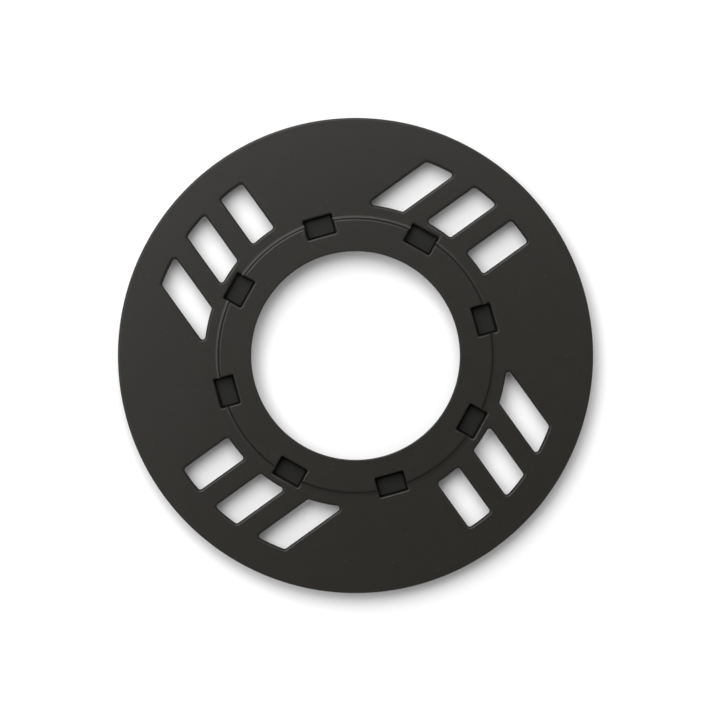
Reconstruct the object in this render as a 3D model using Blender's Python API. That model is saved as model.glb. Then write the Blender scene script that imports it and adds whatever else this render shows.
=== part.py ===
"""Clip-on chain guard ring.

A flat guard disc lies against the front of a chain ring. A clip ring holds it there: its
flange covers the middle of the disc, its collar passes through the disc's bore, and eight
snap fingers hang from the flange in the gaps of the collar and catch behind the chain
ring's inner edge. Each finger bends at its root, so each one is a piece of its own.

The guard lies face up. The axis of the bore is Z, +Z is the side that faces away from the
chain ring, and z = 0 is the plane that the collar's foot stands on. All sizes are metres.
"""
import math

import bmesh
import bpy
from mathutils import Matrix, Vector

# Clearance between pieces that seat on each other or pass each other.
FIT_GAP = 0.0003

# Heights, from the collar's foot up.
FINGER_FOOT_HEIGHT = 0.0008
HEAD_THICKNESS = 0.0014
GRIP_GAP = 0.0008
DISC_THICKNESS = 0.0016
FLANGE_EDGE_THICKNESS = 0.0005
BORE_LIP_THICKNESS = 0.0014

HEAD_TOP = FINGER_FOOT_HEIGHT + HEAD_THICKNESS
DISC_BACK = HEAD_TOP + GRIP_GAP
DISC_FRONT = DISC_BACK + DISC_THICKNESS
FLANGE_BACK = DISC_FRONT + FIT_GAP
FLANGE_FRONT = FLANGE_BACK + FLANGE_EDGE_THICKNESS
BORE_LIP_BACK = FLANGE_FRONT - BORE_LIP_THICKNESS
FINGER_TOP = BORE_LIP_BACK - FIT_GAP

# Radii, from the bore outwards.
BORE_RADIUS = 0.02282
BORE_LIP_WIDTH = 0.00268
COLLAR_WALL = 0.0012
POCKET_LENGTH = 0.00435
POCKET_BEYOND_FLANGE = 0.00065
SEAT_WEB_WIDTH = 0.0026
RIM_WIDTH = 0.0070
DISC_RADIUS = 0.0520

COLLAR_INNER_RADIUS = BORE_RADIUS + BORE_LIP_WIDTH
COLLAR_RADIUS = COLLAR_INNER_RADIUS + COLLAR_WALL
DISC_BORE_RADIUS = COLLAR_RADIUS + FIT_GAP
POCKET_OUTER_RADIUS = DISC_BORE_RADIUS + POCKET_LENGTH
FLANGE_RADIUS = POCKET_OUTER_RADIUS - POCKET_BEYOND_FLANGE
SLOT_INNER_RADIUS = FLANGE_RADIUS + SEAT_WEB_WIDTH
SLOT_OUTER_RADIUS = DISC_RADIUS - RIM_WIDTH

# Edges, beads and the stiffening lip behind the rim.
RIM_ROUND = 0.0004
RIM_LIP_WIDTH = 0.0016
RIM_LIP_DEPTH = 0.0008
FLANGE_RAMP_WIDTH = 0.0011
FLANGE_RAMP_FOOT = 0.0001
BORE_CHAMFER = 0.0002
BEAD_REACH = 0.0005
BEAD_FLAT = 0.0004
BEAD_RAMP = 0.0006

# Slots through the disc: groups of parallel slots, the same in every quarter.
SLOT_GROUPS = 4
SLOTS_PER_GROUP = 3
SLOT_DIRECTION = math.radians(35.7)
FIRST_SLOT_OFFSET = 0.00115
SLOT_PITCH = 0.01066
SLOT_WIDTH = 0.0056
SLOT_CORNER_RADIUS = 0.00055
SLOT_END_STEPS = 6
SLOT_CORNER_STEPS = 3

# Pockets through disc and flange, and the snap fingers seen through them. Each finger's
# head is a sole that nearly fills its pocket's outline, with a smaller pad on top.
FINGERS = 8
FIRST_FINGER_ANGLE = math.radians(15.6)
POCKET_WIDTH = 0.0064
PAD_GAP = 0.00035
SOLE_GAP = 0.00005
SOLE_THICKNESS = 0.0007
FINGER_SIDE_GAP = 0.00035
LEAD_IN_LENGTH = 0.0009
LEAD_IN_HEIGHT = 0.0005
HEEL_CHAMFER = 0.0004
ROOT_CHAMFER = 0.0003
HINGE_DEPTH = 0.0002

FINGER_WIDTH = POCKET_WIDTH - 2 * SOLE_GAP
COLLAR_GAP_WIDTH = FINGER_WIDTH + 2 * FINGER_SIDE_GAP

TURN_STEPS = 144
CUT_MARGIN = 0.001
SMOOTH_ANGLE = math.radians(30)

DISC_COLOUR = (0.034, 0.033, 0.031)
RING_COLOUR = (0.036, 0.035, 0.033)
FINGER_COLOUR = (0.030, 0.029, 0.028)
PLASTIC_ROUGHNESS = 0.62


def clear_scene():
    """Remove every object that is in the scene already."""
    for item in list(bpy.data.objects):
        bpy.data.objects.remove(item, do_unlink=True)


def make_plastic(name, colour):
    """Make a matt moulded plastic of one colour."""
    material = bpy.data.materials.new(name)
    material.use_nodes = True
    shader = material.node_tree.nodes["Principled BSDF"]
    shader.inputs["Base Color"].default_value = (*colour, 1.0)
    shader.inputs["Roughness"].default_value = PLASTIC_ROUGHNESS
    shader.inputs["Metallic"].default_value = 0.0
    return material


def add_object(name, shape, material=None):
    """Turn a bmesh into a scene object whose round faces are shaded smooth."""
    bmesh.ops.recalc_face_normals(shape, faces=shape.faces[:])
    mesh = bpy.data.meshes.new(name)
    shape.to_mesh(mesh)
    shape.free()
    mesh.shade_smooth()
    mesh.set_sharp_from_angle(angle=SMOOTH_ANGLE)
    if material is not None:
        mesh.materials.append(material)
    item = bpy.data.objects.new(name, mesh)
    bpy.context.scene.collection.objects.link(item)
    return item


def cut(target, cutter):
    """Cut one object out of another, and keep the cutter as a hidden wire guide."""
    cutter.hide_render = True
    cutter.display_type = "WIRE"
    modifier = target.modifiers.new(cutter.name, "BOOLEAN")
    modifier.operation = "DIFFERENCE"
    modifier.solver = "EXACT"
    modifier.object = cutter


def turned_ring(profile):
    """Turn a closed outline of (radius, height) points about the Z axis."""
    shape = bmesh.new()
    points = [shape.verts.new((radius, 0.0, height)) for radius, height in profile]
    edges = [
        shape.edges.new((point, points[(index + 1) % len(points)]))
        for index, point in enumerate(points)
    ]
    bmesh.ops.spin(
        shape,
        geom=points + edges,
        axis=(0.0, 0.0, 1.0),
        cent=(0.0, 0.0, 0.0),
        angle=2 * math.pi,
        steps=TURN_STEPS,
        use_merge=True,
    )
    return shape


def add_prism(shape, outline, along):
    """Add a prism to a bmesh: a flat outline of points, extruded by a vector."""
    face = shape.faces.new([shape.verts.new(point) for point in outline])
    end = bmesh.ops.extrude_face_region(shape, geom=[face])
    moved = [item for item in end["geom"] if isinstance(item, bmesh.types.BMVert)]
    bmesh.ops.translate(shape, verts=moved, vec=along)


def slot_frame():
    """Unit vectors along and across the slots of the first group."""
    along = Vector((math.cos(SLOT_DIRECTION), math.sin(SLOT_DIRECTION), 0.0))
    across = Vector((-math.sin(SLOT_DIRECTION), math.cos(SLOT_DIRECTION), 0.0))
    return along, across


def arc_points(centre, radius, first, last, steps):
    """Points of an arc about a centre, from one outward unit direction to another."""
    return [centre + radius * first.slerp(last, step / steps) for step in range(steps + 1)]


def slot_outline(offset):
    """Outline of one slot of the first group: straight sides, ends on two circles, round corners.

    Each corner's arc is centred where the slot's sides and ends meet once they are moved
    inwards by the corner radius.
    """
    along, across = slot_frame()
    axis = Vector((0.0, 0.0, 0.0))
    low = offset - SLOT_WIDTH / 2 + SLOT_CORNER_RADIUS
    high = offset + SLOT_WIDTH / 2 - SLOT_CORNER_RADIUS

    def corner_centre(radius, shift):
        return along * math.sqrt(radius**2 - shift**2) + across * shift

    inner_low = corner_centre(SLOT_INNER_RADIUS + SLOT_CORNER_RADIUS, low)
    inner_high = corner_centre(SLOT_INNER_RADIUS + SLOT_CORNER_RADIUS, high)
    outer_low = corner_centre(SLOT_OUTER_RADIUS - SLOT_CORNER_RADIUS, low)
    outer_high = corner_centre(SLOT_OUTER_RADIUS - SLOT_CORNER_RADIUS, high)
    out_low, out_high = outer_low.normalized(), outer_high.normalized()
    in_low, in_high = inner_low.normalized(), inner_high.normalized()
    inner_end = arc_points(axis, SLOT_INNER_RADIUS, in_high, in_low, SLOT_END_STEPS)
    outer_end = arc_points(axis, SLOT_OUTER_RADIUS, out_low, out_high, SLOT_END_STEPS)

    outline = arc_points(inner_low, SLOT_CORNER_RADIUS, -in_low, -across, SLOT_CORNER_STEPS)
    outline += arc_points(outer_low, SLOT_CORNER_RADIUS, -across, out_low, SLOT_CORNER_STEPS)
    outline += outer_end[1:-1]
    outline += arc_points(outer_high, SLOT_CORNER_RADIUS, out_high, across, SLOT_CORNER_STEPS)
    outline += arc_points(inner_high, SLOT_CORNER_RADIUS, across, -in_high, SLOT_CORNER_STEPS)
    outline += inner_end[1:-1]
    return outline


def slot_cutters():
    """All slots of the disc as upright prisms."""
    shape = bmesh.new()
    base = Vector((0.0, 0.0, DISC_BACK - RIM_LIP_DEPTH - CUT_MARGIN))
    height = Vector((0.0, 0.0, DISC_FRONT + CUT_MARGIN)) - base
    for group in range(SLOT_GROUPS):
        turn = Matrix.Rotation(2 * math.pi * group / SLOT_GROUPS, 3, "Z")
        for row in range(SLOTS_PER_GROUP):
            outline = slot_outline(FIRST_SLOT_OFFSET + SLOT_PITCH * row)
            add_prism(shape, [turn @ point + base for point in outline], height)
    return add_object("slot_cutters", shape)


def radial_block_cutters(name, width, inner, outer, low, high):
    """One block of a width at every finger, between two radii and two heights."""
    shape = bmesh.new()
    for index in range(FINGERS):
        block = bmesh.ops.create_cube(shape, size=1.0)["verts"]
        size = Vector((outer - inner, width, high - low))
        centre = Vector(((inner + outer) / 2, 0.0, (low + high) / 2))
        bmesh.ops.scale(shape, verts=block, vec=size)
        bmesh.ops.translate(shape, verts=block, vec=centre)
        turn = Matrix.Rotation(finger_angle(index), 3, "Z")
        bmesh.ops.rotate(shape, verts=block, cent=(0.0, 0.0, 0.0), matrix=turn)
    return add_object(name, shape)


def finger_angle(index):
    """Angle of a finger about Z, counted from +X."""
    return FIRST_FINGER_ANGLE + 2 * math.pi * index / FINGERS


def make_guard_disc():
    """The flat disc: bore, stiffening lip behind the rim, slots and pocket notches."""
    lip_inner = DISC_RADIUS - RIM_LIP_WIDTH
    lip_back = DISC_BACK - RIM_LIP_DEPTH
    front_round = [
        (
            DISC_RADIUS - RIM_ROUND * (1 - math.cos(angle)),
            DISC_FRONT - RIM_ROUND * (1 - math.sin(angle)),
        )
        for angle in (0.0, math.pi / 6, math.pi / 3, math.pi / 2)
    ]
    profile = [
        (DISC_BORE_RADIUS, DISC_FRONT),
        (DISC_BORE_RADIUS, DISC_BACK),
        (lip_inner - RIM_LIP_DEPTH, DISC_BACK),
        (lip_inner, lip_back),
        (DISC_RADIUS, lip_back),
    ] + front_round
    disc = add_object("guard_disc", turned_ring(profile), make_plastic("disc_plastic", DISC_COLOUR))
    cut(disc, slot_cutters())
    notches = radial_block_cutters(
        "disc_notch_cutters",
        POCKET_WIDTH,
        COLLAR_INNER_RADIUS,
        POCKET_OUTER_RADIUS,
        DISC_BACK - CUT_MARGIN,
        DISC_FRONT + CUT_MARGIN,
    )
    cut(disc, notches)
    return disc


def make_clip_ring():
    """The clip ring: flange, bore lip and a collar with beads, cut into eight arcs."""
    bead_top = DISC_BACK - FIT_GAP
    bead_radius = COLLAR_RADIUS + FIT_GAP + BEAD_REACH
    profile = [
        (BORE_RADIUS, BORE_LIP_BACK),
        (COLLAR_INNER_RADIUS, BORE_LIP_BACK),
        (COLLAR_INNER_RADIUS, 0.0),
        (COLLAR_RADIUS, 0.0),
        (COLLAR_RADIUS, bead_top - BEAD_FLAT - BEAD_RAMP),
        (bead_radius, bead_top - BEAD_FLAT),
        (bead_radius, bead_top),
        (COLLAR_RADIUS, bead_top),
        (COLLAR_RADIUS, FLANGE_BACK),
        (FLANGE_RADIUS, FLANGE_BACK),
        (FLANGE_RADIUS, FLANGE_BACK + FLANGE_RAMP_FOOT),
        (FLANGE_RADIUS - FLANGE_RAMP_WIDTH, FLANGE_FRONT),
        (BORE_RADIUS + BORE_CHAMFER, FLANGE_FRONT),
        (BORE_RADIUS, FLANGE_FRONT - BORE_CHAMFER),
    ]
    ring = add_object("clip_ring", turned_ring(profile), make_plastic("ring_plastic", RING_COLOUR))
    pockets = radial_block_cutters(
        "flange_pocket_cutters",
        POCKET_WIDTH,
        DISC_BORE_RADIUS,
        POCKET_OUTER_RADIUS,
        BORE_LIP_BACK,
        FLANGE_FRONT + CUT_MARGIN,
    )
    gaps = radial_block_cutters(
        "collar_gap_cutters",
        COLLAR_GAP_WIDTH,
        COLLAR_INNER_RADIUS - CUT_MARGIN,
        DISC_BORE_RADIUS + BEAD_REACH + CUT_MARGIN,
        -CUT_MARGIN,
        BORE_LIP_BACK,
    )
    cut(ring, pockets)
    cut(ring, gaps)
    return ring


def raise_pad(shape, sole_height, rise):
    """Raise a pad from the finger's one flat face at a height, inset on all four sides."""
    bmesh.ops.recalc_face_normals(shape, faces=shape.faces[:])
    sole = next(
        face
        for face in shape.faces
        if all(math.isclose(vert.co.z, sole_height, abs_tol=FIT_GAP / 10) for vert in face.verts)
    )
    bmesh.ops.inset_region(
        shape, faces=[sole], thickness=PAD_GAP - SOLE_GAP, use_even_offset=True
    )
    grown = bmesh.ops.extrude_face_region(shape, geom=[sole])
    moved = [item for item in grown["geom"] if isinstance(item, bmesh.types.BMVert)]
    bmesh.ops.translate(shape, verts=moved, vec=(0.0, 0.0, rise))
    bmesh.ops.delete(shape, geom=[sole], context="FACES_ONLY")


def make_snap_finger(index, material):
    """One snap finger: a flat beam with a hooked head, its origin on its root's hinge line."""
    hinge_radius = COLLAR_INNER_RADIUS + COLLAR_WALL / 2
    hinge_height = FINGER_TOP - HINGE_DEPTH
    sole_end = POCKET_OUTER_RADIUS - SOLE_GAP
    sole_top = FINGER_FOOT_HEIGHT + SOLE_THICKNESS
    outline = [
        (COLLAR_INNER_RADIUS, FINGER_TOP),
        (COLLAR_INNER_RADIUS, FINGER_FOOT_HEIGHT + HEEL_CHAMFER),
        (COLLAR_INNER_RADIUS + HEEL_CHAMFER, FINGER_FOOT_HEIGHT),
        (sole_end - LEAD_IN_LENGTH, FINGER_FOOT_HEIGHT),
        (sole_end, FINGER_FOOT_HEIGHT + LEAD_IN_HEIGHT),
        (sole_end, sole_top),
        (DISC_BORE_RADIUS, sole_top),
        (COLLAR_RADIUS, sole_top + ROOT_CHAMFER),
        (COLLAR_RADIUS, FINGER_TOP),
    ]
    shape = bmesh.new()
    points = [
        Vector((radius - hinge_radius, -FINGER_WIDTH / 2, height - hinge_height))
        for radius, height in outline
    ]
    add_prism(shape, points, Vector((0.0, FINGER_WIDTH, 0.0)))
    raise_pad(shape, sole_top - hinge_height, HEAD_TOP - sole_top)
    finger = add_object(f"snap_finger_{index + 1}", shape, material)
    angle = finger_angle(index)
    finger.location = (
        hinge_radius * math.cos(angle),
        hinge_radius * math.sin(angle),
        hinge_height,
    )
    finger.rotation_euler = (0.0, 0.0, angle)
    return finger


def build():
    """Build the whole guard ring."""
    clear_scene()
    make_guard_disc()
    make_clip_ring()
    finger_plastic = make_plastic("finger_plastic", FINGER_COLOUR)
    for index in range(FINGERS):
        make_snap_finger(index, finger_plastic)


build()
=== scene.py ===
"""Looks of a clip-on chain guard ring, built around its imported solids.

The guard is three kinds of moulding in matt black plastic: the flat guard disc with its
slanted slots, the clip ring whose flange covers the middle of the disc, and the snap fingers
whose hooked heads show at the bottom of the pockets. Each is remade here with the rounded
edges, drafted walls, grain and tool marks of a real moulding.
"""
import logging
import math
from dataclasses import dataclass
from enum import Enum

import bmesh
import bpy
from mathutils import Matrix, Vector


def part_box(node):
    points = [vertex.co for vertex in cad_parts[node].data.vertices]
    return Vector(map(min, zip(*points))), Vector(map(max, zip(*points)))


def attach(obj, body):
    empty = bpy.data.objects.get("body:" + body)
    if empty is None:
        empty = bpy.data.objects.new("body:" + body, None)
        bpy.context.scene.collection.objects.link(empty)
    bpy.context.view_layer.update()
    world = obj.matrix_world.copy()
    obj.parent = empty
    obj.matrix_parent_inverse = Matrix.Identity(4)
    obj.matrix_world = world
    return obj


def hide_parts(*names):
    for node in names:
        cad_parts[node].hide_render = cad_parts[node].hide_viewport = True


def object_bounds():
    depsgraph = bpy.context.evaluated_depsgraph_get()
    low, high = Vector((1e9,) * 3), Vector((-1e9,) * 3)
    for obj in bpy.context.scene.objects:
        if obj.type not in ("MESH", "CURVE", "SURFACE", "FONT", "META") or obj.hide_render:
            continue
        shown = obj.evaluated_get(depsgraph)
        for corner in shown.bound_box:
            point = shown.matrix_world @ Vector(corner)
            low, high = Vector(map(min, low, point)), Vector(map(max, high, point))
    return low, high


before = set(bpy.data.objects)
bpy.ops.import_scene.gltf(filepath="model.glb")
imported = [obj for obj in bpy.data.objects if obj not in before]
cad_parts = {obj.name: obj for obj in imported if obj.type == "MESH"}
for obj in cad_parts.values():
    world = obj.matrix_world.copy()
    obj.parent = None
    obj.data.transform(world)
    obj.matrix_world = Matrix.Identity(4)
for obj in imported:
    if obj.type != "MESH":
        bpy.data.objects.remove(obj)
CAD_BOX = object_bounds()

MM = 0.001
UP = Vector((0.0, 0.0, 1.0))
ORIGIN = Vector((0.0, 0.0, 0.0))
QUARTER_TURN = math.pi / 2
CUTTER_MARGIN = 1.0 * MM
POCKET_OVERRUN = 2.0 * MM
OUTLINE_WELD = 0.0001 * MM
SURFACE_WELD = 0.0005 * MM
SAME_HEIGHT = 0.01 * MM

log = logging.getLogger("guard")


# ---------------------------------------------------------------------------
# Mesh shop: the few shaping steps that every moulding is made with
# ---------------------------------------------------------------------------


@dataclass(frozen=True)
class Corner:
    """One corner of an outline, and the radius that rounds it.

    Args:
        across: first coordinate, the distance from the bore's axis.
        height: second coordinate, along the bore's axis.
        rounding: radius of the rounded corner, or 0 for a sharp one.
    """

    across: float
    height: float
    rounding: float = 0.0


def rounded_section(corners: list[Corner], steps: int = 4) -> bmesh.types.BMesh:
    """Make a flat face in the XZ plane from an outline with rounded corners.

    Args:
        corners: the outline's corners, in order.
        steps: segments in each rounded corner.

    Returns:
        A bmesh that holds the one face.
    """
    shape = bmesh.new()
    points = [shape.verts.new((corner.across, 0.0, corner.height)) for corner in corners]
    shape.faces.new(points)
    for index, (corner, point) in enumerate(zip(corners, points)):
        if corner.rounding == 0.0:
            continue
        before, after = corners[index - 1], corners[(index + 1) % len(corners)]
        inward = Vector((corner.across - before.across, corner.height - before.height))
        outward = Vector((after.across - corner.across, after.height - corner.height))
        tangent = corner.rounding * math.tan(inward.angle(outward) / 2)
        bmesh.ops.bevel(
            shape,
            geom=[point],
            offset=tangent,
            offset_type="OFFSET",
            segments=steps,
            profile=0.5,
            affect="VERTICES",
            material=-1,
        )
    return shape


def turn_section(section: bmesh.types.BMesh, steps: int) -> bmesh.types.BMesh:
    """Turn a section once round the bore's axis into a closed ring.

    Args:
        section: a bmesh with one flat face in the XZ plane.
        steps: how many flats the turned ring has.

    Returns:
        The same bmesh, now a ring with its faces pointing out.
    """
    bmesh.ops.delete(section, geom=section.faces[:], context="FACES_ONLY")
    bmesh.ops.spin(
        section,
        geom=section.verts[:] + section.edges[:],
        axis=UP,
        cent=ORIGIN,
        angle=2 * math.pi,
        steps=steps,
        use_merge=True,
    )
    bmesh.ops.recalc_face_normals(section, faces=section.faces[:])
    return section


class OutlinePen:
    """Draws a flat outline of lines and arcs, growing it from one vertex."""

    def __init__(self, start: Vector) -> None:
        """Start the outline at a point."""
        self.mesh = bmesh.new()
        self.tip = self.mesh.verts.new(start)

    def line(self, end: Vector) -> None:
        """Draw a straight line to a point."""
        grown = bmesh.ops.extrude_vert_indiv(self.mesh, verts=[self.tip])
        self.tip = grown["verts"][0]
        self.tip.co = end

    def arc(self, centre: Vector, angle: float, steps: int) -> None:
        """Draw an arc about an upright axis.

        Args:
            centre: a point on the axis.
            angle: the turn in radians, anticlockwise if it is positive.
            steps: segments in the arc.
        """
        swept = bmesh.ops.spin(
            self.mesh, geom=[self.tip], cent=centre, axis=UP, angle=angle, steps=steps
        )
        self.tip = next(item for item in swept["geom_last"] if isinstance(item, bmesh.types.BMVert))

    def close(self) -> bmesh.types.BMesh:
        """Join the last point to the first, fill the outline and return its bmesh."""
        bmesh.ops.remove_doubles(self.mesh, verts=self.mesh.verts[:], dist=OUTLINE_WELD)
        bmesh.ops.contextual_create(self.mesh, geom=self.mesh.edges[:])
        return self.mesh


@dataclass(frozen=True)
class MouldedOpening:
    """How the wall of a moulded opening runs, from the front surface down.

    Args:
        edge_radius: radius of the rounded front edge.
        draft: lean of the wall, in radians, so that the tool lets go.
        depth: height of the wall under the rounded edge.
        steps: segments in the rounded edge.
    """

    edge_radius: float
    draft: float
    depth: float
    steps: int = 4

    def spread(self) -> float:
        """How much wider the opening is at the front surface than at its bottom."""
        return self.edge_radius * math.cos(self.draft) + self.depth * math.tan(self.draft)

    def sink(self, outline: bmesh.types.BMesh, front: float) -> bmesh.types.BMesh:
        """Make the cutter of an opening from its outline at the front surface.

        Args:
            outline: a bmesh with one flat face, the opening at its widest.
            front: height of the front surface.

        Returns:
            The same bmesh, now a closed cutter that stands proud of that surface.
        """
        outline.faces.ensure_lookup_table()
        lid = outline.faces[0]
        lid.normal_update()
        if lid.normal.z > 0:
            bmesh.ops.reverse_faces(outline, faces=[lid])
        bmesh.ops.translate(outline, verts=outline.verts[:], vec=UP * (front + CUTTER_MARGIN))
        floor = self._extrude_down(outline, lid, CUTTER_MARGIN)
        turn = (QUARTER_TURN - self.draft) / self.steps
        for step in range(self.steps):
            before, after = turn * step, turn * (step + 1)
            self._inset_down(
                outline,
                floor,
                self.edge_radius * (math.sin(after) - math.sin(before)),
                self.edge_radius * (math.cos(before) - math.cos(after)),
            )
        self._inset_down(outline, floor, self.depth * math.tan(self.draft), self.depth)
        bmesh.ops.recalc_face_normals(outline, faces=outline.faces[:])
        return outline

    @staticmethod
    def _extrude_down(
        shape: bmesh.types.BMesh, face: bmesh.types.BMFace, depth: float
    ) -> bmesh.types.BMFace:
        """Extrude a face straight down, keep the old one as the lid, and return the new one."""
        grown = bmesh.ops.extrude_face_region(shape, geom=[face], use_keep_orig=True)["geom"]
        moved = [item for item in grown if isinstance(item, bmesh.types.BMVert)]
        bmesh.ops.translate(shape, verts=moved, vec=-UP * depth)
        return next(item for item in grown if isinstance(item, bmesh.types.BMFace))

    @staticmethod
    def _inset_down(
        shape: bmesh.types.BMesh, face: bmesh.types.BMFace, inset: float, depth: float
    ) -> None:
        """Inset a face evenly, and lower it."""
        bmesh.ops.inset_region(
            shape, faces=[face], thickness=inset, depth=0.0, use_even_offset=True
        )
        bmesh.ops.translate(shape, verts=face.verts[:], vec=-UP * depth)


def place_copies(
    shape: bmesh.types.BMesh, count: int, first_angle: float
) -> bmesh.types.BMesh:
    """Turn a shape to its first place and copy it round the bore's axis.

    Args:
        shape: the bmesh to copy.
        count: how many there are in a full turn.
        first_angle: angle of the first one from +X, in radians.

    Returns:
        The same bmesh, with all copies in it.
    """
    original = shape.verts[:] + shape.edges[:] + shape.faces[:]
    bmesh.ops.rotate(
        shape, verts=shape.verts[:], cent=ORIGIN, matrix=Matrix.Rotation(first_angle, 3, "Z")
    )
    for index in range(1, count):
        copied = bmesh.ops.duplicate(shape, geom=original)["geom"]
        moved = [item for item in copied if isinstance(item, bmesh.types.BMVert)]
        turn = Matrix.Rotation(2 * math.pi * index / count, 3, "Z")
        bmesh.ops.rotate(shape, verts=moved, cent=ORIGIN, matrix=turn)
    return shape


def add_piece(name: str, shape: bmesh.types.BMesh) -> bpy.types.Object:
    """Make a scene object from a bmesh and free the bmesh."""
    mesh = bpy.data.meshes.new(name)
    shape.to_mesh(mesh)
    shape.free()
    piece = bpy.data.objects.new(name, mesh)
    bpy.context.scene.collection.objects.link(piece)
    return piece


def carve(piece: bpy.types.Object, cutter_shape: bmesh.types.BMesh) -> None:
    """Cut a shape out of a piece for good.

    Args:
        piece: the object to cut.
        cutter_shape: a closed bmesh, which is used up.
    """
    cutter = add_piece(f"{piece.name}_cutter", cutter_shape)
    modifier = piece.modifiers.new("cut", "BOOLEAN")
    modifier.operation = "DIFFERENCE"
    modifier.solver = "EXACT"
    modifier.object = cutter
    graph = bpy.context.evaluated_depsgraph_get()
    result = bpy.data.meshes.new_from_object(piece.evaluated_get(graph))
    piece.modifiers.clear()
    old_mesh, cutter_mesh = piece.data, cutter.data
    result.name = piece.name
    piece.data = result
    bpy.data.objects.remove(cutter)
    bpy.data.meshes.remove(old_mesh)
    bpy.data.meshes.remove(cutter_mesh)


def finish_surface(piece: bpy.types.Object, crease: float = math.radians(38)) -> None:
    """Shade a piece smooth between creases, with flat faces left looking flat.

    Args:
        piece: the object to finish.
        crease: edges that turn more than this stay sharp, in radians.
    """
    tidy = bmesh.new()
    tidy.from_mesh(piece.data)
    bmesh.ops.remove_doubles(tidy, verts=tidy.verts[:], dist=SURFACE_WELD)
    bmesh.ops.dissolve_degenerate(tidy, edges=tidy.edges[:], dist=SURFACE_WELD)
    tidy.to_mesh(piece.data)
    tidy.free()
    piece.data.shade_smooth()
    piece.data.set_sharp_from_angle(angle=crease)
    weighted = piece.modifiers.new("flat_faces", "WEIGHTED_NORMAL")
    weighted.keep_sharp = True
    weighted.weight = 60
    weighted.thresh = 0.0


# ---------------------------------------------------------------------------
# Finishes
# ---------------------------------------------------------------------------


# A mix node's sockets by place, because its colour and value sockets share their names.
COLOUR_A, COLOUR_B, MIXED_COLOUR = 6, 7, 2
VALUE_A, VALUE_B, MIXED_VALUE = 2, 3, 0


class Grain(Enum):
    """Texture that the tool leaves on a moulded face: scale per metre, bump height in metres."""

    SPARK_ERODED = (5200.0, 0.000015)
    PLAIN_TOOLED = (9000.0, 0.000008)


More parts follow.
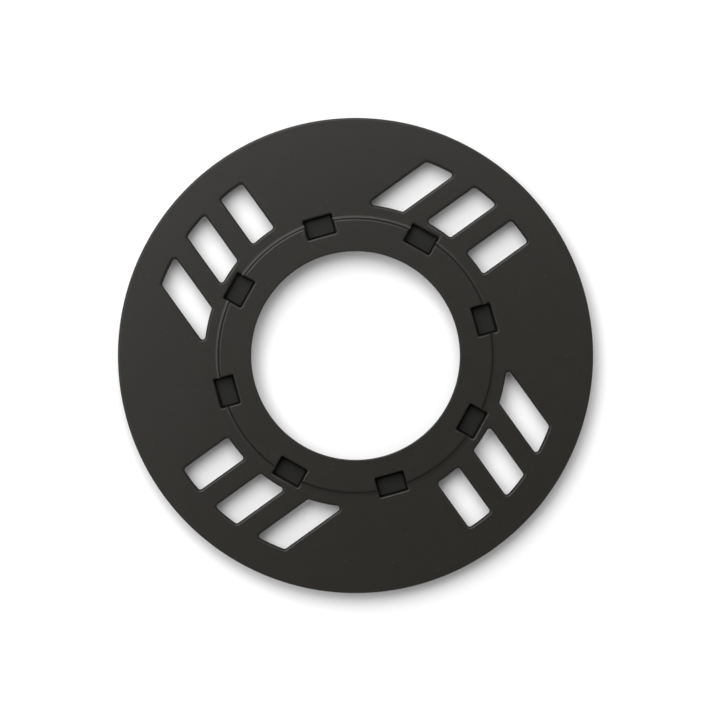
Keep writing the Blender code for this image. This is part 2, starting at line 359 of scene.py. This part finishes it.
@dataclass(frozen=True)
class MouldedPlastic:
    """Matt black moulded plastic.

    Args:
        name: the material's name.
        colour: linear base colour.
        roughness: mean roughness.
        grain: texture that the tool leaves.
        gloss: strength of the reflections, 0.5 for plain bare plastic.
        wall_roughness: roughness of the drafted walls.
        painted_wall_shade: painted shade on the drafted walls, their colour as a share of the plain
            colour.
        wall_tilts: upright parts of the normal where a wall starts to turn matt and painted dark,
            and where it is fully so.
        mottle: how far the colour wanders, as a share of it.
        mottle_tint: how strongly red, green and blue take part in the lighter blotches.
        mottle_scale: blotches of colour per metre.
        polish_spread: how far the roughness wanders to either side.
        polish_scale: blotches of roughness per metre.
        dust: brightness of the fine specks, linear.
        dust_scale: specks per metre.
        dust_sizes: radii of a speck's core and of its soft edge, as shares of its cell.
    """

    name: str
    colour: tuple[float, float, float]
    roughness: float
    grain: Grain
    gloss: float = 0.27
    wall_roughness: float = 0.85
    painted_wall_shade: float = 0.4
    wall_tilts: tuple[float, float] = (0.75, 0.35)
    mottle: float = 0.16
    mottle_tint: tuple[float, float, float] = (1.25, 1.0, 0.85)
    mottle_scale: float = 210.0
    polish_spread: float = 0.015
    polish_scale: float = 900.0
    dust: float = 0.05
    dust_scale: float = 420.0
    dust_sizes: tuple[float, float] = (0.03, 0.05)

    def make(self) -> bpy.types.Material:
        """Build the material's nodes and return it."""
        material = bpy.data.materials.new(self.name)
        material.use_nodes = True
        nodes, links = material.node_tree.nodes, material.node_tree.links
        shader = nodes["Principled BSDF"]
        shader.inputs["Metallic"].default_value = 0.0
        shader.inputs["Specular IOR Level"].default_value = self.gloss
        place = nodes.new("ShaderNodeTexCoord").outputs["Object"]

        blotches = self._noise(nodes, links, place, self.mottle_scale, detail=5.0)
        warm = nodes.new("ShaderNodeMix")
        warm.data_type = "RGBA"
        deep = (channel * (1 - self.mottle) for channel in self.colour)
        pale = (
            channel * (1 + self.mottle * tint)
            for channel, tint in zip(self.colour, self.mottle_tint)
        )
        warm.inputs[COLOUR_A].default_value = (*deep, 1.0)
        warm.inputs[COLOUR_B].default_value = (*pale, 1.0)
        links.new(blotches, warm.inputs[0])

        specks = self._specks(nodes, links, place)
        dusty = nodes.new("ShaderNodeMix")
        dusty.data_type = "RGBA"
        links.new(specks, dusty.inputs[0])
        links.new(warm.outputs[MIXED_COLOUR], dusty.inputs[COLOUR_A])
        dusty.inputs[COLOUR_B].default_value = (self.dust, self.dust, self.dust * 0.97, 1.0)
        # Painted shade: the drafted walls get a darker copy of the colour, which stands in for the
        # shade on them.
        steep = self._steepness(nodes, links)
        shaded = nodes.new("ShaderNodeMix")
        shaded.data_type = "RGBA"
        links.new(steep, shaded.inputs[0])
        links.new(dusty.outputs[MIXED_COLOUR], shaded.inputs[COLOUR_A])
        painted_shade_colour = (channel * self.painted_wall_shade for channel in self.colour)
        shaded.inputs[COLOUR_B].default_value = (*painted_shade_colour, 1.0)
        links.new(shaded.outputs[MIXED_COLOUR], shader.inputs["Base Color"])

        polish = nodes.new("ShaderNodeMapRange")
        polish.inputs["From Min"].default_value = 0.3
        polish.inputs["From Max"].default_value = 0.7
        polish.inputs["To Min"].default_value = self.roughness - self.polish_spread
        polish.inputs["To Max"].default_value = self.roughness + self.polish_spread
        wear = self._noise(nodes, links, place, self.polish_scale, detail=3.0)
        links.new(wear, polish.inputs["Value"])
        matt = nodes.new("ShaderNodeMix")
        matt.data_type = "FLOAT"
        links.new(steep, matt.inputs[0])
        links.new(polish.outputs[0], matt.inputs[VALUE_A])
        matt.inputs[VALUE_B].default_value = self.wall_roughness
        links.new(matt.outputs[MIXED_VALUE], shader.inputs["Roughness"])

        scale, height = self.grain.value
        bump = nodes.new("ShaderNodeBump")
        bump.inputs["Strength"].default_value = 1.0
        bump.inputs["Distance"].default_value = height
        links.new(self._noise(nodes, links, place, scale, detail=2.0), bump.inputs["Height"])
        links.new(bump.outputs[0], shader.inputs["Normal"])
        return material

    @staticmethod
    def _noise(
        nodes: bpy.types.Nodes,
        links: bpy.types.NodeLinks,
        place: bpy.types.NodeSocket,
        scale: float,
        detail: float,
    ) -> bpy.types.NodeSocket:
        """Add a noise texture and return its value."""
        noise = nodes.new("ShaderNodeTexNoise")
        noise.inputs["Scale"].default_value = scale
        noise.inputs["Detail"].default_value = detail
        noise.inputs["Roughness"].default_value = 0.6
        links.new(place, noise.inputs["Vector"])
        return noise.outputs["Fac"]

    def _steepness(
        self, nodes: bpy.types.Nodes, links: bpy.types.NodeLinks
    ) -> bpy.types.NodeSocket:
        """Return 1 on the drafted walls and 0 on flat faces: where the walls turn matt and take
        painted shade.
        """
        parts = nodes.new("ShaderNodeSeparateXYZ")
        links.new(nodes.new("ShaderNodeTexCoord").outputs["Normal"], parts.inputs[0])
        level = nodes.new("ShaderNodeMath")
        level.operation = "ABSOLUTE"
        links.new(parts.outputs["Z"], level.inputs[0])
        steep = nodes.new("ShaderNodeMapRange")
        steep.inputs["From Min"].default_value = self.wall_tilts[0]
        steep.inputs["From Max"].default_value = self.wall_tilts[1]
        links.new(level.outputs[0], steep.inputs[0])
        return steep.outputs[0]

    def _specks(
        self, nodes: bpy.types.Nodes, links: bpy.types.NodeLinks, place: bpy.types.NodeSocket
    ) -> bpy.types.NodeSocket:
        """Add sparse fine specks and return how much each point is covered."""
        cells = nodes.new("ShaderNodeTexVoronoi")
        cells.inputs["Scale"].default_value = self.dust_scale
        links.new(place, cells.inputs["Vector"])
        spots = nodes.new("ShaderNodeMapRange")
        core, soft_edge = self.dust_sizes
        spots.inputs["From Min"].default_value = soft_edge
        spots.inputs["From Max"].default_value = core
        links.new(cells.outputs["Distance"], spots.inputs[0])
        return spots.outputs[0]


class Finish(Enum):
    """The finishes of the guard's mouldings. The values are the record's material slots."""

    DISC = "disc_plastic"
    RING = "ring_plastic"
    FINGER = "finger_plastic"


PLASTICS = {
    Finish.DISC: MouldedPlastic("disc_black", (0.0114, 0.0103, 0.0083), 0.30, Grain.SPARK_ERODED),
    Finish.RING: MouldedPlastic("ring_black", (0.0114, 0.0103, 0.0083), 0.30, Grain.SPARK_ERODED),
    # The fingers' colour is about half the disc's: painted shade, standing in for the shade at the
    # bottom of the pockets where their heads show.
    Finish.FINGER: MouldedPlastic(
        "finger_shaded_black", (0.0055, 0.0051, 0.0043), 0.45, Grain.PLAIN_TOOLED, gloss=0.18
    ),
}


def dress(piece: bpy.types.Object, finish: Finish, body: str, *nodes: str) -> None:
    """Give a piece its material, let it ride on its body and stand for its CAD nodes.

    Args:
        piece: the finished piece.
        finish: the finish it gets.
        body: the CAD body that it moves with.
        nodes: the CAD nodes that it replaces.
    """
    name = PLASTICS[finish].name
    material = bpy.data.materials.get(name) or PLASTICS[finish].make()
    piece.data.materials.clear()
    piece.data.materials.append(material)
    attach(piece, body)
    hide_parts(*nodes)
    log.info("%s: %d faces, on body %s", piece.name, len(piece.data.polygons), body)


# ---------------------------------------------------------------------------
# The guard disc
# ---------------------------------------------------------------------------


@dataclass
class SlotPattern:
    """Slanted slots in groups: each group has parallel slots whose ends lie on two circles."""

    groups: int = 4
    rows: int = 3
    direction: float = math.radians(35.7)
    first_offset: float = 1.15 * MM
    pitch: float = 10.66 * MM
    width: float = 5.6 * MM
    inner_radius: float = 33.3 * MM
    outer_radius: float = 45.0 * MM
    corner_radius: float = 0.45 * MM
    corner_steps: int = 5
    end_steps: int = 14

    def outline(self, row: int, grow: float) -> bmesh.types.BMesh:
        """Draw one slot of the group that lies along +X.

        Args:
            row: which slot of the group, from 0.
            grow: how much wider the slot is than its size, on every side.

        Returns:
            A bmesh with the slot as one flat face at height 0.
        """
        rounding = self.corner_radius + grow
        half = self.width / 2 + grow - rounding
        centre = self.first_offset + self.pitch * row
        inner = self.inner_radius - grow + rounding
        outer = self.outer_radius + grow - rounding

        def middle(radius: float, shift: float) -> Vector:
            """Centre of a corner's arc, on a circle round the bore's axis."""
            return Vector((math.sqrt(radius**2 - shift**2), shift, 0.0))

        def lean(point: Vector) -> float:
            """Angle of a point from +X, seen from the bore's axis."""
            return math.atan2(point.y, point.x)

        near_low, near_high = middle(inner, centre - half), middle(inner, centre + half)
        far_low, far_high = middle(outer, centre - half), middle(outer, centre + half)
        sideways = Vector((0.0, rounding, 0.0))
        pen = OutlinePen(near_low - sideways)
        pen.line(far_low - sideways)
        pen.arc(far_low, QUARTER_TURN + lean(far_low), self.corner_steps)
        pen.arc(ORIGIN, lean(far_high) - lean(far_low), self.end_steps)
        pen.arc(far_high, QUARTER_TURN - lean(far_high), self.corner_steps)
        pen.line(near_high + sideways)
        pen.arc(near_high, QUARTER_TURN + lean(near_high), self.corner_steps)
        pen.arc(ORIGIN, lean(near_low) - lean(near_high), self.end_steps)
        pen.arc(near_low, QUARTER_TURN - lean(near_low), self.corner_steps)
        return pen.close()


@dataclass
class PocketPattern:
    """Rectangular pockets round the clip ring's edge, one over every snap finger's head."""

    count: int = 8
    first_angle: float = math.radians(15.6)
    inner_radius: float = 27.0 * MM
    outer_radius: float = 31.35 * MM
    width: float = 6.4 * MM
    corner_radius: float = 0.25 * MM
    corner_steps: int = 4

    def outline(self, inner: float, outer: float, grow: float) -> bmesh.types.BMesh:
        """Draw one pocket on +X.

        Args:
            inner: distance of its inner end from the bore's axis.
            outer: distance of its outer end.
            grow: how much wider it is than its size, at the sides.

        Returns:
            A bmesh with the pocket as one flat face at height 0.
        """
        rounding = self.corner_radius + grow
        low, high = inner + rounding, outer - rounding
        side = self.width / 2 + grow - rounding
        pen = OutlinePen(Vector((low, -side - rounding, 0.0)))
        pen.line(Vector((high, -side - rounding, 0.0)))
        pen.arc(Vector((high, -side, 0.0)), QUARTER_TURN, self.corner_steps)
        pen.line(Vector((high + rounding, side, 0.0)))
        pen.arc(Vector((high, side, 0.0)), QUARTER_TURN, self.corner_steps)
        pen.line(Vector((low, side + rounding, 0.0)))
        pen.arc(Vector((low, side, 0.0)), QUARTER_TURN, self.corner_steps)
        pen.line(Vector((low - rounding, -side, 0.0)))
        pen.arc(Vector((low, -side, 0.0)), QUARTER_TURN, self.corner_steps)
        return pen.close()


@dataclass(frozen=True)
class ToolMark:
    """A round mark that the tool leaves on a back face.

    Args:
        radius: radius of the mark.
        depth: how far it is sunk into the face.
        stub_radius: radius of the broken-off stub that stands in it, or 0 for no stub.
    """

    radius: float
    depth: float
    stub_radius: float = 0.0

    def cutter(self, back: float, distance: float) -> bmesh.types.BMesh:
        """Make the cutter of the mark.

        Args:
            back: height of the face, which looks down.
            distance: distance of the mark from the bore's axis, along +X.

        Returns:
            A closed bmesh.
        """
        outside = back - CUTTER_MARGIN
        inner_radius = max(self.stub_radius, 0.01 * MM)
        stub_end = back + 0.2 * self.depth if self.stub_radius else outside
        section = rounded_section(
            [
                Corner(0.0, outside),
                Corner(self.radius, outside),
                Corner(self.radius, back),
                Corner(self.radius - 0.5 * self.depth, back + self.depth),
                Corner(inner_radius, back + self.depth),
                Corner(inner_radius, stub_end),
                Corner(0.0, stub_end),
            ]
        )
        mark = turn_section(section, 32)
        bmesh.ops.translate(mark, verts=mark.verts[:], vec=(distance, 0.0, 0.0))
        return mark


@dataclass
class GuardDisc:
    """The flat outer disc: slots, pocket notches, a rounded rim and a stiffening lip behind it."""

    slots: SlotPattern
    pockets: PocketPattern
    bore_radius: float = 27.0 * MM
    thickness: float = 1.6 * MM
    rim_round: float = 0.45 * MM
    lip_width: float = 1.6 * MM
    lip_slope: float = 0.8 * MM
    lip_foot_round: float = 0.3 * MM
    lip_inner_round: float = 0.2 * MM
    lip_outer_round: float = 0.25 * MM
    slot_edge: float = 0.45 * MM
    slot_draft: float = math.radians(6)
    slot_overrun: float = 0.2 * MM
    notch_edge: float = 0.38 * MM
    notch_draft: float = math.radians(2)
    notch_overrun: float = 0.3 * MM
    pin_mark: ToolMark = ToolMark(radius=1.3 * MM, depth=0.08 * MM)
    pin_count: int = 12
    first_pin: float = math.radians(7.5)
    gate_mark: ToolMark = ToolMark(radius=1.5 * MM, depth=0.30 * MM, stub_radius=0.55 * MM)
    gate_count: int = 3
    first_gate: float = math.radians(22.5)
    mark_radius: float = 47.3 * MM
    steps: int = 288

    def __post_init__(self) -> None:
        """Read the disc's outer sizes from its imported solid."""
        low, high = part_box("guard_disc")
        self.radius = high.x
        self.front = high.z
        self.lip_back = low.z
        self.back = self.front - self.thickness

    def build(self) -> bpy.types.Object:
        """Turn the disc, then sink its slots, notches and tool marks.

        Returns:
            The finished disc.
        """
        lip_inner = self.radius - self.lip_width
        section = rounded_section(
            [
                Corner(self.bore_radius, self.front),
                Corner(self.bore_radius, self.back),
                Corner(lip_inner - self.lip_slope, self.back, self.lip_foot_round),
                Corner(lip_inner, self.lip_back, self.lip_inner_round),
                Corner(self.radius, self.lip_back, self.lip_outer_round),
                Corner(self.radius, self.front, self.rim_round),
            ],
            steps=5,
        )
        disc = add_piece("moulded_disc", turn_section(section, self.steps))
        self._sink_slots(disc)
        self._sink_notches(disc)
        self._mark_back(disc)
        finish_surface(disc)
        dress(disc, Finish.DISC, "guard", "guard_disc")
        return disc

    def _sink_slots(self, disc: bpy.types.Object) -> None:
        """Sink the slots, one row of every group at a time."""
        depth = self.front - self.lip_back + self.slot_overrun
        wall = MouldedOpening(self.slot_edge, self.slot_draft, depth)
        for row in range(self.slots.rows):
            cutter = wall.sink(self.slots.outline(row, wall.spread()), self.front)
            carve(disc, place_copies(cutter, self.slots.groups, self.slots.direction))

    def _sink_notches(self, disc: bpy.types.Object) -> None:
        """Sink the outer parts of the pockets, which are open towards the bore."""
        depth = self.thickness + self.notch_overrun
        wall = MouldedOpening(self.notch_edge, self.notch_draft, depth)
        notch = self.pockets.outline(
            self.bore_radius - POCKET_OVERRUN,
            self.pockets.outer_radius + wall.spread(),
            wall.spread(),
        )
        cutter = wall.sink(notch, self.front)
        carve(disc, place_copies(cutter, self.pockets.count, self.pockets.first_angle))

    def _mark_back(self, disc: bpy.types.Object) -> None:
        """Press the ejector pins' marks and the gates' dimples into the back."""
        pin = self.pin_mark.cutter(self.back, self.mark_radius)
        carve(disc, place_copies(pin, self.pin_count, self.first_pin))
        gate = self.gate_mark.cutter(self.back, self.mark_radius)
        carve(disc, place_copies(gate, self.gate_count, self.first_gate))


# ---------------------------------------------------------------------------
# The clip ring
# ---------------------------------------------------------------------------


@dataclass
class ClipRing:
    """The raised ring: a flange in front, a collar with catch beads behind it.

    The flange's edge is a rounded step with a fillet at its foot and a thin apron around it.
    """

    pockets: PocketPattern
    bore_radius: float = 22.82 * MM
    collar_inner_radius: float = 25.5 * MM
    collar_radius: float = 26.7 * MM
    lip_thickness: float = 1.4 * MM
    bead_reach: float = 0.8 * MM
    bead_gap: float = 0.1 * MM
    bead_height: float = 0.4 * MM
    bead_slope: float = 0.6 * MM
    bead_foot_round: float = 0.15 * MM
    bead_top_round: float = 0.1 * MM
    bore_round: float = 0.25 * MM
    back_round: float = 0.2 * MM
    collar_round: float = 0.3 * MM
    disc_front: float = 4.6 * MM
    disc_back: float = 3.0 * MM
    seat_gap: float = 0.04 * MM
    apron_width: float = 0.62 * MM
    apron_foot: float = 0.04 * MM
    apron_height: float = 0.07 * MM
    foot_rounding: float = 0.3 * MM
    step_run: float = 0.18 * MM
    step_rounding: float = 0.5 * MM
    pocket_edge: float = 0.38 * MM
    pocket_draft: float = math.radians(2)
    gap_width: float = 7.0 * MM
    gap_inner_margin: float = 1.2 * MM
    gap_outer_margin: float = 1.5 * MM
    steps: int = 288

    def __post_init__(self) -> None:
        """Read the ring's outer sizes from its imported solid."""
        low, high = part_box("clip_ring")
        self.radius = high.x
        self.front = high.z
        self.foot = low.z

    def build(self) -> bpy.types.Object:
        """Turn the ring, then cut its pockets and the gaps between the collar's arcs.

        Returns:
            The finished clip ring.
        """
        seat = self.disc_front + self.seat_gap
        lip_back = self.front - self.lip_thickness
        bead_top = self.disc_back - self.bead_gap
        bead_foot = bead_top - self.bead_height
        bead_radius = self.collar_radius + self.bead_reach
        step_foot = self.radius - self.apron_width
        section = rounded_section(
            [
                Corner(self.bore_radius, lip_back, self.back_round),
                Corner(self.collar_inner_radius, lip_back, self.collar_round),
                Corner(self.collar_inner_radius, self.foot, self.back_round),
                Corner(self.collar_radius, self.foot, self.collar_round),
                Corner(self.collar_radius, bead_foot - self.bead_slope, self.back_round),
                Corner(bead_radius, bead_foot, self.bead_foot_round),
                Corner(bead_radius, bead_top, self.bead_top_round),
                Corner(self.collar_radius, bead_top),
                Corner(self.collar_radius, seat),
                Corner(self.radius, seat),
                Corner(self.radius, seat + self.apron_foot),
                Corner(step_foot, seat + self.apron_height, self.foot_rounding),
                Corner(step_foot - self.step_run, self.front, self.step_rounding),
                Corner(self.bore_radius, self.front, self.bore_round),
            ]
        )
        ring = add_piece("moulded_clip_ring", turn_section(section, self.steps))
        wall = MouldedOpening(self.pocket_edge, self.pocket_draft, self.front - lip_back)
        pocket = self.pockets.outline(
            self.pockets.inner_radius - wall.spread(),
            self.radius + POCKET_OVERRUN,
            wall.spread(),
        )
        cutter = wall.sink(pocket, self.front)
        carve(ring, place_copies(cutter, self.pockets.count, self.pockets.first_angle))
        carve(ring, self._collar_gaps(lip_back))
        finish_surface(ring)
        dress(ring, Finish.RING, "guard", "clip_ring")
        return ring

    def _collar_gaps(self, top: float) -> bmesh.types.BMesh:
        """Make the blocks that part the collar's arcs where the fingers stand.

        Args:
            top: height of the gaps' closed upper end.

        Returns:
            A bmesh with all the blocks.
        """
        shape = bmesh.new()
        block = bmesh.ops.create_cube(shape, size=1.0)["verts"]
        inner = self.collar_inner_radius - self.gap_inner_margin
        outer = self.collar_radius + self.gap_outer_margin
        low = Vector((inner, -self.gap_width / 2, self.foot - CUTTER_MARGIN))
        high = Vector((outer, self.gap_width / 2, top))
        bmesh.ops.scale(shape, verts=block, vec=high - low)
        bmesh.ops.translate(shape, verts=block, vec=(low + high) / 2)
        return place_copies(shape, self.pockets.count, self.pockets.first_angle)


# ---------------------------------------------------------------------------
# The snap fingers
# ---------------------------------------------------------------------------


@dataclass
class SnapFinger:
    """One snap finger: a flat beam that hangs from the flange, with a hooked head.

    The head is a wide sole with a smaller pad on it, which is what shows in the pocket.
    """

    index: int
    pockets: PocketPattern
    beam_inner: float = 25.5 * MM
    beam_outer: float = 26.7 * MM
    sole_reach: float = 0.12 * MM
    sole_thickness: float = 0.7 * MM
    root_chamfer: float = 0.3 * MM
    pad_gap: float = 0.35 * MM
    pad_rise: float = 0.7 * MM
    lead_in_length: float = 0.9 * MM
    lead_in_height: float = 0.5 * MM
    lead_in_round: float = 0.4 * MM
    heel_round: float = 0.5 * MM
    root_gap: float = 0.12 * MM
    hinge_gap: float = 0.3 * MM
    edge_radius: float = 0.1 * MM
    edge_turn: float = math.radians(34.4)

    def build(self) -> bpy.types.Object:
        """Extrude the finger's hooked outline, raise its pad and round its edges.

        Returns:
            The finished finger.
        """
        number = self.index + 1
        low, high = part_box(f"snap_finger_{number}")
        foot, sole_top = low.z, low.z + self.sole_thickness
        top = high.z + self.hinge_gap - self.root_gap
        sole_end = self.pockets.outer_radius + self.sole_reach
        width = self.pockets.width + 2 * self.sole_reach
        shape = rounded_section(
            [
                Corner(self.beam_inner, top),
                Corner(self.beam_inner, foot, self.heel_round),
                Corner(sole_end - self.lead_in_length, foot, self.lead_in_round),
                Corner(sole_end, foot + self.lead_in_height),
                Corner(sole_end, sole_top),
                Corner(self.pockets.inner_radius, sole_top),
                Corner(self.beam_outer, sole_top + self.root_chamfer),
                Corner(self.beam_outer, top),
            ]
        )
        bmesh.ops.translate(shape, verts=shape.verts[:], vec=(0.0, -width / 2, 0.0))
        grown = bmesh.ops.extrude_face_region(shape, geom=shape.faces[:], use_keep_orig=True)
        moved = [item for item in grown["geom"] if isinstance(item, bmesh.types.BMVert)]
        bmesh.ops.translate(shape, verts=moved, vec=(0.0, width, 0.0))
        bmesh.ops.recalc_face_normals(shape, faces=shape.faces[:])
        self._raise_pad(shape, sole_top)
        self._round_edges(shape)
        angle = self.pockets.first_angle + 2 * math.pi * self.index / self.pockets.count
        turn = Matrix.Rotation(angle, 3, "Z")
        bmesh.ops.rotate(shape, verts=shape.verts[:], cent=ORIGIN, matrix=turn)
        finger = add_piece(f"moulded_finger_{number}", shape)
        finish_surface(finger)
        dress(finger, Finish.FINGER, f"finger_{number}", f"snap_finger_{number}")
        return finger

    def _raise_pad(self, shape: bmesh.types.BMesh, sole_top: float) -> None:
        """Inset the sole's top face and raise the pad from it."""
        sole = next(
            face
            for face in shape.faces
            if all(math.isclose(vert.co.z, sole_top, abs_tol=SAME_HEIGHT) for vert in face.verts)
        )
        bmesh.ops.inset_region(
            shape, faces=[sole], thickness=self.pad_gap, use_even_offset=True
        )
        grown = bmesh.ops.extrude_face_region(shape, geom=[sole])["geom"]
        moved = [item for item in grown if isinstance(item, bmesh.types.BMVert)]
        bmesh.ops.translate(shape, verts=moved, vec=UP * self.pad_rise)
        bmesh.ops.delete(shape, geom=[sole], context="FACES_ONLY")

    def _round_edges(self, shape: bmesh.types.BMesh) -> None:
        """Round the outside edges that turn sharply."""
        outside = [
            edge
            for edge in shape.edges
            if edge.is_convex and edge.calc_face_angle() > self.edge_turn
        ]
        bmesh.ops.bevel(
            shape,
            geom=outside,
            offset=self.edge_radius,
            offset_type="OFFSET",
            segments=3,
            profile=0.5,
            affect="EDGES",
            material=-1,
            clamp_overlap=True,
        )


# ---------------------------------------------------------------------------
# The studio
# ---------------------------------------------------------------------------


@dataclass(frozen=True)
class SoftLamp:
    """An oval softbox that faces the guard.

    Args:
        name: the lamp's name.
        azimuth: its direction from +X, in radians.
        elevation: its height over the table, in radians.
        distance: how far away it is.
        width: its size along the table.
        height: its size in the other direction.
        power: its power in watts.
    """

    name: str
    azimuth: float
    elevation: float
    distance: float
    width: float
    height: float
    power: float

    def place(self) -> None:
        """Hang the lamp."""
        lamp = bpy.data.lights.new(self.name, "AREA")
        lamp.shape = "ELLIPSE"
        lamp.size = self.width
        lamp.size_y = self.height
        lamp.energy = self.power
        light = bpy.data.objects.new(self.name, lamp)
        bpy.context.scene.collection.objects.link(light)
        flat = math.cos(self.elevation)
        away = Vector(
            (
                flat * math.cos(self.azimuth),
                flat * math.sin(self.azimuth),
                math.sin(self.elevation),
            )
        )
        light.location = away * self.distance
        light.rotation_euler = away.to_track_quat("Z", "Y").to_euler()


KEY_LAMP = SoftLamp("key", math.radians(122), math.radians(65), 1.25, 1.40, 1.20, 19.0)
EDGE_LAMP = SoftLamp("edge", math.radians(118), math.radians(36), 0.80, 0.60, 0.12, 1.5)


@dataclass
class Studio:
    """A white table under soft light from the upper left, seen from straight above."""

    view_width: float = 157.3 * MM
    camera_height: float = 0.80
    centre_shift: float = 0.98 * MM
    sky_strength: float = 0.56
    table_size: float = 6.0
    flag_radius: float = 0.21
    flag_gap: float = 0.01

    def build(self) -> None:
        """Set up the table, the lights and the camera."""
        self._table()
        KEY_LAMP.place()
        EDGE_LAMP.place()
        self._sky()
        self._camera()
        self._flag()

    def _table(self) -> None:
        """A large plain white table top."""
        shape = bmesh.new()
        bmesh.ops.create_grid(shape, x_segments=1, y_segments=1, size=self.table_size / 2)
        table = add_piece("table", shape)
        table.data.materials.append(self._matt("table_white", grey=0.86, roughness=0.9, gloss=0.1))

    @staticmethod
    def _matt(name: str, grey: float, roughness: float, gloss: float) -> bpy.types.Material:
        """Make a plain grey material for a prop."""
        material = bpy.data.materials.new(name)
        material.use_nodes = True
        shader = material.node_tree.nodes["Principled BSDF"]
        shader.inputs["Base Color"].default_value = (grey, grey, grey, 1.0)
        shader.inputs["Roughness"].default_value = roughness
        shader.inputs["Specular IOR Level"].default_value = gloss
        return material

    def _sky(self) -> None:
        """An even white surrounding light."""
        world = bpy.data.worlds.new("studio")
        world.use_nodes = True
        background = world.node_tree.nodes["Background"]
        background.inputs["Color"].default_value = (1.0, 1.0, 1.0, 1.0)
        background.inputs["Strength"].default_value = self.sky_strength
        bpy.context.scene.world = world
        bpy.context.scene.view_settings.view_transform = "Standard"

    def _camera(self) -> None:
        """A long lens straight above, a little off the bore's axis."""
        optics = bpy.data.cameras.new("camera")
        optics.sensor_width = 36.0
        optics.lens = optics.sensor_width * self.camera_height / self.view_width
        optics.clip_end = 20.0
        camera = bpy.data.objects.new("camera", optics)
        bpy.context.scene.collection.objects.link(camera)
        camera.location = self._camera_place()
        bpy.context.scene.camera = camera

    def _camera_place(self) -> Vector:
        """Where the camera hangs, measured from the guard's front face."""
        front = CAD_BOX[1][2]
        return Vector((self.centre_shift, -self.centre_shift, front + self.camera_height))

    def _flag(self) -> None:
        """A black card behind the camera, which keeps the flat faces from shining."""
        shape = bmesh.new()
        bmesh.ops.create_circle(shape, cap_ends=True, segments=48, radius=self.flag_radius)
        height = self._camera_place().z + self.flag_gap
        bmesh.ops.translate(shape, verts=shape.verts[:], vec=UP * height)
        flag = add_piece("flag", shape)
        flag.data.materials.append(self._matt("flag_black", grey=0.01, roughness=1.0, gloss=0.0))
        flag.visible_camera = False


def main() -> None:
    """Build the guard and its studio."""
    logging.basicConfig(level=logging.INFO, format="%(name)s %(message)s")
    pockets = PocketPattern()
    GuardDisc(SlotPattern(), pockets).build()
    ClipRing(pockets).build()
    for index in range(pockets.count):
        SnapFinger(index, pockets).build()
    Studio().build()


if __name__ == "__main__":
    main()
